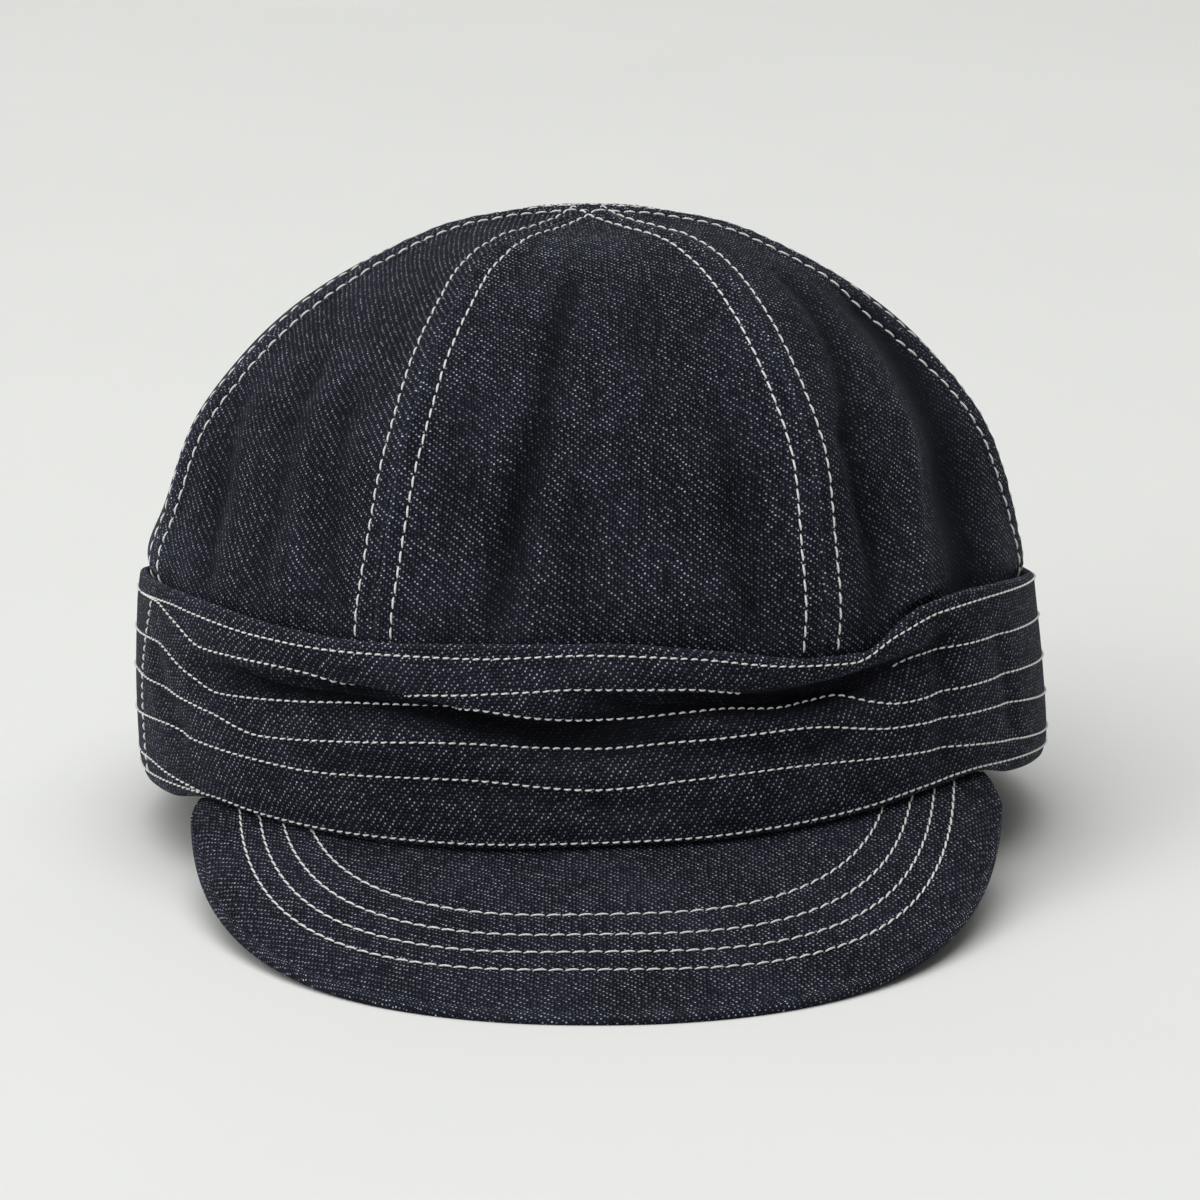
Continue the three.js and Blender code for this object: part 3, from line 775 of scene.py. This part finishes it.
def denimMaterial():
    # A two-up, one-down twill: the pale weft shows as a slanting lattice of specks
    material, tree, shader = newMaterial("indigo_denim")
    look = denimLook

    def calc(operation, *values):
        return calculate(tree, operation, *values)

    spot = addNode(tree, "UVMap", uv_map="cloth").outputs["UV"]

    def noise(size, detail):
        scale = 1 / (look[size] * mm)
        return addNode(tree, "TexNoise", {"Vector": spot}, Scale=scale, Detail=detail).outputs

    # The yarns drift a little off their straight lines
    drift = noise("driftSize", 1.0)["Color"]
    centred = addNode(tree, "VectorMath", {0: drift}, operation="SUBTRACT")
    centred.inputs[1].default_value = (0.5, 0.5, 0.5)
    pulled = addNode(tree, "VectorMath", {0: centred.outputs["Vector"]}, operation="SCALE")
    pulled.inputs["Scale"].default_value = look["drift"] * mm
    woven = addNode(tree, "VectorMath", {0: spot, 1: pulled.outputs["Vector"]}, operation="ADD")
    parts = addNode(tree, "SeparateXYZ", {"Vector": woven.outputs["Vector"]}).outputs
    # Every third weft yarn floats over a warp yarn, one further along at each next warp yarn
    warp = calc("DIVIDE", parts["X"], look["warpPitch"] * mm)
    weft = calc("DIVIDE", parts["Y"], look["weftPitch"] * mm)
    repeat = calc("DIVIDE", calc("ADD", weft, warp), look["twill"])
    warpCell, repeatCell = calc("ROUND", warp), calc("ROUND", repeat)
    warpAway = calc("SUBTRACT", warp, warpCell)
    stepsAway = calc("MULTIPLY", calc("SUBTRACT", repeat, repeatCell), look["twill"])
    repeatAway = calc("SUBTRACT", stepsAway, warpAway)
    cell = addNode(tree, "CombineXYZ", {"X": warpCell, "Y": repeatCell}).outputs["Vector"]
    random = addNode(tree, "TexWhiteNoise", {"Vector": cell}, noise_dimensions="2D").outputs
    chance = random["Value"]
    unevenness = addNode(tree, "SeparateColor", {"Color": random["Color"]}).outputs

    def offPlace(distance, chosen, pitch, size):
        nudge = calc("MULTIPLY", calc("ADD", chosen, -0.5), look["nudge"])
        return calc("DIVIDE", calc("MULTIPLY", calc("ADD", distance, nudge), pitch), size)

    wide = offPlace(warpAway, unevenness["Red"], look["warpPitch"], look["floatWidth"])
    high = offPlace(repeatAway, unevenness["Green"], look["weftPitch"], look["floatHeight"])
    away = calc("ADD", calc("MULTIPLY", wide, wide), calc("MULTIPLY", high, high))
    weftFloat = calc("MAXIMUM", calc("SUBTRACT", 1.0, away), 0.0)
    patch = noise("patchSize", 2.0)["Fac"]
    tone = noise("toneSize", 3.0)["Fac"]
    # Real wear where this attribute is positive, painted shade where it is negative
    wornAndShaded = addNode(tree, "Attribute", attribute_name="wearAndShade").outputs["Fac"]
    alongYarn = calc("DIVIDE", parts["Y"], look["slubLength"] * mm)
    yarnPlace = addNode(tree, "CombineXYZ", {"X": warpCell, "Y": alongYarn}).outputs["Vector"]
    slub = addNode(tree, "TexNoise", {"Vector": yarnPlace}, Scale=1.0, Detail=0.0).outputs["Fac"]

    # Specks differ from each other, come in patches, show more where the cloth is worn and fewer in
    # the painted shade of fold and crease valleys
    uneven = calc("ADD", calc("MULTIPLY", patch, look["patches"]), slub)
    patchy = calc("MAXIMUM", calc("ADD", uneven, -look["patchesBelow"]), look["patchesLeast"])
    speckWearAndShade = calc("ADD", calc("MULTIPLY", wornAndShaded, look["wearAndShadeShows"]), 1.0)
    shown = calc("MAXIMUM", speckWearAndShade, look["paintedShadeSpecksLeast"])
    own = calc("ADD", calc("POWER", chance, look["chancePower"]), look["chanceLeast"])
    bright = calc("MULTIPLY", own, calc("MULTIPLY", patchy, shown))
    speck = calc("MINIMUM", calc("MULTIPLY", weftFloat, bright), 1.0)
    grain = calc("MULTIPLY", calc("ADD", chance, -0.5), look["grain"])
    ribs = calc("MULTIPLY", calc("COSINE", calc("MULTIPLY", warp, 2 * math.pi)), look["ribs"])
    yarn = calc("ADD", calc("ADD", ribs, grain), tone)
    ground = ramp(tree, yarn, [(0.25, look["shade"]), (0.75, look["warp"])])
    edge = calc("MULTIPLY", calc("MAXIMUM", wornAndShaded, 0.0), calc("MULTIPLY", patch, look["edgeWear"]))

    def blend(share, below, colour):
        mixed = addNode(tree, "Mix", data_type="RGBA")
        tree.links.new(share, mixed.inputs[mixSockets["share"]])
        tree.links.new(below, mixed.inputs[mixSockets["below"]])
        mixed.inputs[mixSockets["above"]].default_value = linear(colour)
        return mixed.outputs[mixSockets["result"]]

    lit = blend(speck, blend(edge, ground, look["wornAndShaded"]), look["weft"])
    # Painted shade: where the attribute is negative, in fold and crease valleys, the colour is
    # darkened towards near black
    paintedShade = calc("MAXIMUM", calc("MULTIPLY", wornAndShaded, -1.0), 0.0)
    colour = blend(calc("MULTIPLY", paintedShade, look["paintedShadeStrength"]), lit, look["paintedShadeColour"])
    tree.links.new(colour, shader.inputs["Base Color"])
    sunk = calc("MULTIPLY", weftFloat, -look["floatSunk"])
    relief = calc("ADD", sunk, calc("MULTIPLY", chance, look["floatUneven"]))
    dents = addNode(
        tree, "Bump", {"Height": relief}, Strength=look["dents"], Distance=look["dent"] * mm,
    )
    tree.links.new(dents.outputs["Normal"], shader.inputs["Normal"])
    shader.inputs["Roughness"].default_value = look["roughness"]
    shader.inputs["Specular IOR Level"].default_value = look["specular"]
    shader.inputs["Sheen Weight"].default_value = look["sheen"]
    shader.inputs["Sheen Roughness"].default_value = look["sheenRoughness"]
    shader.inputs["Sheen Tint"].default_value = linear(look["sheenTint"])
    return material


# A wave texture of scale 1 has its bands bandsApart metres from each other
threadLook = {
    "dark": "#cfd2cf", "light": "#f0f2ee", "twist": 0.4, "bandsApart": 0.314, "depth": 0.05,
    "relief": 0.4, "roughness": 0.7, "sheen": 0.2,
}


def threadMaterial():
    # Pale cotton thread with the fine slanting lines of its twist
    material, tree, shader = newMaterial("pale_cotton_thread")
    look = threadLook
    place = addNode(tree, "TexCoord").outputs["Object"]
    scale = look["bandsApart"] / (look["twist"] * mm)
    twist = addNode(
        tree, "TexWave", {"Vector": place}, bands_direction="DIAGONAL", Scale=scale, Distortion=1.0,
    ).outputs["Fac"]
    colour = ramp(tree, twist, [(0.2, look["dark"]), (0.8, look["light"])])
    tree.links.new(colour, shader.inputs["Base Color"])
    relief = addNode(
        tree, "Bump", {"Height": twist}, Strength=look["relief"], Distance=look["depth"] * mm,
    )
    tree.links.new(relief.outputs["Normal"], shader.inputs["Normal"])
    shader.inputs["Roughness"].default_value = look["roughness"]
    shader.inputs["Sheen Weight"].default_value = look["sheen"]
    return material


paperLook = {"dark": "#ebece9", "light": "#edeeeb", "patches": 6.0, "roughness": 0.9}


def floorMaterial():
    # Plain pale paper with the faintest unevenness
    material, tree, shader = newMaterial("pale_paper")
    place = addNode(tree, "TexCoord").outputs["Object"]
    noise = addNode(tree, "TexNoise", {"Vector": place}, Scale=paperLook["patches"], Detail=2.0)
    stops = [(0.3, paperLook["dark"]), (0.7, paperLook["light"])]
    tree.links.new(ramp(tree, noise.outputs["Fac"], stops), shader.inputs["Base Color"])
    shader.inputs["Roughness"].default_value = paperLook["roughness"]
    return material


# Studio: a pale floor that curves up into a backdrop, soft lights, and the camera. Target and
# distance are in millimetres, the floor and the lights in metres.
studio = {
    "target": (1.76, 26.7, 45.8), "elevation": 13.4, "distance": 1600, "lens": 232.2,
    "sensor": 36, "seesTo": 50, "world": "#f6f6f5", "worldPower": 0.16,
    "floorHalf": 6.0, "floorLength": 9.0, "floorBack": 1.6, "curveRadius": 1.0, "wallHeight": 2.4,
    "floorRows": 90,
}
lightAim = (0, 0, 0.06)
lights = table(
    "name place size power",
    ("key", (-3.3, -1.8, 2.2), 3, 43), ("top", (-0.3, -0.4, 3), 3.2, 77),
    ("front", (-1.7, -3.1, 1.7), 2.8, 27),
)


def makeFloor():
    piece = newPiece("floor")
    sheet = bmesh.new()
    bmesh.ops.create_grid(sheet, x_segments=2, y_segments=studio["floorRows"], size=1)
    radius, flat = studio["curveRadius"], studio["floorLength"]
    quarter = math.pi / 2 * radius
    for vert in sheet.verts:
        run = (vert.co.y + 1) / 2 * (flat + quarter + studio["wallHeight"])
        bend = min(max(0, (run - flat) / radius), math.pi / 2)
        wall = max(0, run - flat - quarter)
        y = studio["floorBack"] - flat + min(run, flat) + radius * math.sin(bend)
        vert.co = Vector((vert.co.x * studio["floorHalf"], y, radius * (1 - math.cos(bend)) + wall))
    for face in sheet.faces:
        face.smooth = True
    sheet.to_mesh(piece.data)
    sheet.free()
    piece.data.materials.append(floorMaterial())


def addLight(row):
    data = bpy.data.lights.new(row["name"], "AREA")
    data.size = row["size"]
    data.energy = row["power"]
    light = bpy.data.objects.new(row["name"], data)
    light.location = row["place"]
    aim = Vector(lightAim) - Vector(row["place"])
    light.rotation_euler = aim.to_track_quat("-Z", "Y").to_euler()
    bpy.context.scene.collection.objects.link(light)


def makeStudio():
    makeFloor()
    for row in lights:
        addLight(row)
    world = bpy.data.worlds.new("studio")
    world.use_nodes = True
    background = world.node_tree.nodes["Background"].inputs
    background["Color"].default_value = linear(studio["world"])
    background["Strength"].default_value = studio["worldPower"]
    bpy.context.scene.world = world
    bpy.context.scene.view_settings.view_transform = "Standard"
    camera = bpy.data.objects.new("camera", bpy.data.cameras.new("camera"))
    camera.data.lens = studio["lens"]
    camera.data.sensor_width = studio["sensor"]
    camera.data.clip_end = studio["seesTo"]
    target = Vector(studio["target"]) * mm
    tilt = math.radians(studio["elevation"])
    back = Vector((0, -math.cos(tilt), math.sin(tilt)))
    camera.location = target + back * studio["distance"] * mm
    camera.rotation_euler = (-back).to_track_quat("-Z", "Y").to_euler()
    bpy.context.scene.collection.objects.link(camera)
    bpy.context.scene.camera = camera


def dress(piece, material):
    piece.data.materials.append(material)
    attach(piece, "root")


makeStudio()
print("studio ready")
denim = denimMaterial()
for panel in panels:
    dress(makePanel(panel), denim)
print("crown ready")
dress(makeBand(), denim)
dress(makePeak(), denim)
print("band and peak ready")
cotton = threadMaterial()
dress(stitchPiece("crown_stitches", "crown", crownStitches()), cotton)
dress(stitchPiece("band_stitches", "band", bandStitches()), cotton)
dress(stitchPiece("peak_stitches", "peak", peakStitches()), cotton)
print("stitches ready")
